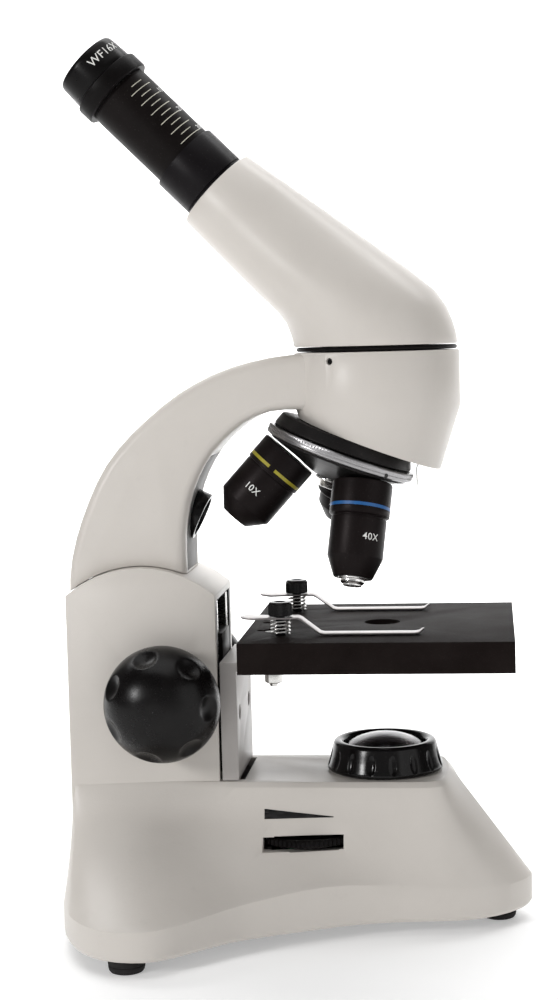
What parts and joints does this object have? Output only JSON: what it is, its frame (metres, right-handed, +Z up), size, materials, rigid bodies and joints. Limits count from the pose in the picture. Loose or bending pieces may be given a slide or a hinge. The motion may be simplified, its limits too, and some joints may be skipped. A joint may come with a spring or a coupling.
{
  "type": "microscope",
  "caption": "Upright monocular student microscope with an inclined eyepiece, rotating nosepiece, square clip stage, focus knobs and built-in base and arm lamps.",
  "frame": {"origin": "centre of the footprint, on the surface that the feet stand on", "axes": "+Z up, +X from the pillar towards the front of the base (the eyepiece leans towards -X), +Y to the side away from the viewer"},
  "size_m": [0.16, 0.142, 0.3055],
  "materials": {
    "pale_paint": "satin light warm grey",
    "bracket_paint": "satin light grey",
    "black_plastic": "fine satin",
    "black_anodised": "satin black on aluminium",
    "stage_black": "fine semi-gloss black",
    "grey_plastic": "fine texture",
    "bright_steel": "bright",
    "brass": "machined",
    "foot_rubber": "matte",
    "lens_glass": "polished",
    "board_green": "solder mask",
    "led_yellow": "clear"
  },
  "bodies": {
    "frame": {"base_casting": "pale_paint", "bottom_cover": "grey_plastic", "foot_rear_left": "foot_rubber", "foot_rear_right": "foot_rubber", "foot_front": "foot_rubber", "circuit_board": "board_green", "lower_led": "led_yellow", "illuminator_lens": "lens_glass", "power_jack": "black_plastic", "bushing_left": "brass", "bushing_right": "brass", "guide_rail_left": "bright_steel", "guide_rail_right": "bright_steel", "arm_casting": "pale_paint", "upper_lamp_cover": "grey_plastic", "upper_lamp_hood": "black_plastic", "upper_lamp_lens": "lens_glass", "head_seat_ring": "black_plastic", "head_lock_screw": "bright_steel", "nosepiece_mount": "black_anodised", "detent_spring": "bright_steel"},
    "light_collar": {"illuminator_collar": "black_plastic"},
    "dimmer_wheel": {"brightness_wheel": "black_plastic"},
    "switch_rocker": {"lamp_switch": "black_plastic"},
    "stage": {"slide_block": "grey_plastic", "slide_rack": "brass", "stage_bracket": "bracket_paint", "bracket_screw_left": "bright_steel", "bracket_screw_right": "bright_steel", "stage_plate": "stage_black", "stage_bolt_left": "bright_steel", "stage_bolt_right": "bright_steel"},
    "focus_drive": {"focus_shaft": "bright_steel", "drive_pinion": "brass", "focus_knob_left": "black_plastic", "focus_knob_right": "black_plastic"},
    "clip_pivot_left": {"clip_screw_left": "black_plastic", "clip_spring_left": "bright_steel"},
    "clip_pivot_right": {"clip_screw_right": "black_plastic", "clip_spring_right": "bright_steel"},
    "clip_arm_left": {"clip_left": "bright_steel"},
    "clip_arm_right": {"clip_right": "bright_steel"},
    "turret": {"turret_shell": "black_anodised", "turret_grip_ring": "bright_steel", "turret_pivot_screw": "bright_steel", "objective_40x_body": "black_anodised", "objective_10x_body": "black_anodised", "objective_4x_body": "black_anodised", "objective_10x_lens": "lens_glass", "objective_4x_lens": "lens_glass"},
    "spring_nose": {"objective_40x_tip": "bright_steel", "objective_40x_lens": "lens_glass"},
    "head": {"head_housing": "pale_paint", "prism": "lens_glass", "tube_sleeve": "black_anodised"},
    "eyepiece": {"draw_tube": "black_anodised", "eyepiece_ring": "black_plastic", "eyepiece_cap": "black_plastic", "eye_lens": "lens_glass", "field_lens": "lens_glass"}
  },
  "joints": [
    {"name": "stage_travel", "type": "slide", "parent": "frame", "child": "stage", "axis": [0, 0, 1], "range_m": [0, 0.0103]},
    {"name": "focus_turn", "type": "hinge", "parent": "frame", "child": "focus_drive", "pos_m": [-0.042, 0, 0.0816], "axis": [0, 1, 0], "range_deg": [-128, 3]},
    {"name": "collar_turn", "type": "hinge", "parent": "frame", "child": "light_collar", "pos_m": [0.03, 0, 0.0556], "axis": [0, 0, 1], "range_deg": [0, 45]},
    {"name": "dimmer_turn", "type": "hinge", "parent": "frame", "child": "dimmer_wheel", "pos_m": [0.0033, -0.0097, 0.0326], "axis": [0, 0, 1], "range_deg": [-135, 135]},
    {"name": "switch_rock", "type": "hinge", "parent": "frame", "child": "switch_rocker", "pos_m": [-0.0752, -0.0025, 0.0236], "axis": [0, 1, 0], "range_deg": [-8, 8]},
    {"name": "clip_swing_left", "type": "hinge", "parent": "stage", "child": "clip_pivot_left", "pos_m": [-0.0023, -0.028, 0.1036], "axis": [0, 0, 1], "range_deg": [-95, 40]},
    {"name": "clip_swing_right", "type": "hinge", "parent": "stage", "child": "clip_pivot_right", "pos_m": [-0.0023, 0.028, 0.1036], "axis": [0, 0, 1], "range_deg": [-40, 95]},
    {"name": "clip_lift_left", "type": "hinge", "parent": "clip_pivot_left", "child": "clip_arm_left", "pos_m": [0.0017, -0.028, 0.11], "axis": [0, -1, 0], "range_deg": [0, 5], "stiffness_Nm_per_rad": 0.6, "deforming": ["clip_spring_left"]},
    {"name": "clip_lift_right", "type": "hinge", "parent": "clip_pivot_right", "child": "clip_arm_right", "pos_m": [0.0017, 0.028, 0.11], "axis": [0, -1, 0], "range_deg": [0, 5], "stiffness_Nm_per_rad": 0.6, "deforming": ["clip_spring_right"]},
    {"name": "turret_turn", "type": "hinge", "parent": "frame", "child": "turret", "pos_m": [0.03, 0, 0.1961], "axis": [0.3633, 0, 0.9317], "continuous": true},
    {"name": "nose_retract", "type": "slide", "parent": "turret", "child": "spring_nose", "axis": [0.1076, 0.2657, 0.958], "range_m": [0, 0.0015], "stiffness_N_per_m": 400},
    {"name": "head_turn", "type": "hinge", "parent": "frame", "child": "head", "pos_m": [0.03, 0, 0.1976], "axis": [0, 0, 1], "continuous": true},
    {"name": "draw_tube_slide", "type": "slide", "parent": "head", "child": "eyepiece", "axis": [-0.7071, 0, 0.7071], "range_m": [-0.0305, 0.012]}
  ],
  "couplings": [
    {"joint": "focus_turn", "follows": "stage_travel", "rad_per_m": -208.33}
  ]
}
